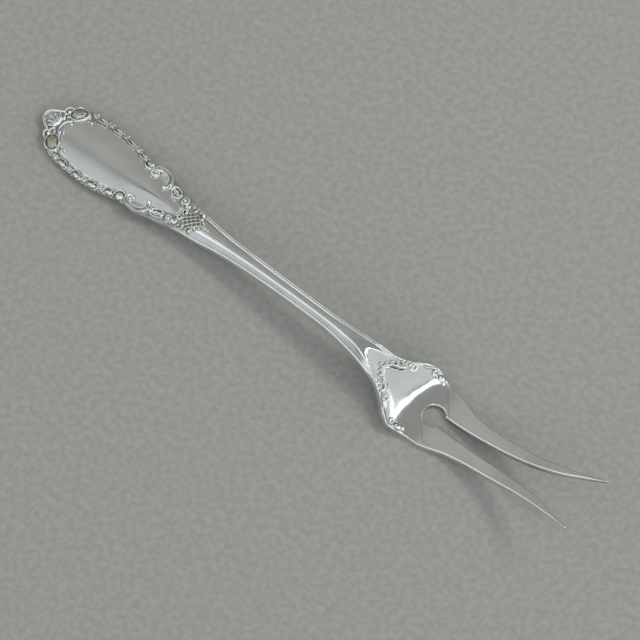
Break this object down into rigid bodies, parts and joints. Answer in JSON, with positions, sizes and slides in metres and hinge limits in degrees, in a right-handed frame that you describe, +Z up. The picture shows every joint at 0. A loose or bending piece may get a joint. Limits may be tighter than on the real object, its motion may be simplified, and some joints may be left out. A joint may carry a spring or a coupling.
{
  "type": "butter fork",
  "caption": "Slim silver serving fork with a scroll-edged handle, threaded stem, dished head with a keyhole slot and upswept splayed tines for lifting butter pats.",
  "frame": {"origin": "on the table under the middle of the fork's box, where the fork rests face up on its heel and handle end", "axes": "+X along the fork from the handle end to the tine tips, +Y to the left of someone holding it, +Z up from the table"},
  "size_m": [0.1532, 0.0176, 0.0158],
  "materials": {
    "polished_silver": "polished",
    "satin_silver": "satin",
    "tarnished_silver": "aged"
  },
  "bodies": {
    "root": {"handle_plate": "satin_silver", "stem": "polished_silver", "head": "polished_silver", "left_tine": "satin_silver", "right_tine": "satin_silver", "tip_crest": "polished_silver", "left_rosette": "tarnished_silver", "right_rosette": "tarnished_silver", "left_handle_rim": "polished_silver", "right_handle_rim": "polished_silver", "left_handle_scroll": "polished_silver", "right_handle_scroll": "polished_silver", "lattice_cartouche": "tarnished_silver", "neck_arch": "polished_silver", "left_shoulder_scroll": "polished_silver", "right_shoulder_scroll": "polished_silver"}
  },
  "joints": []
}
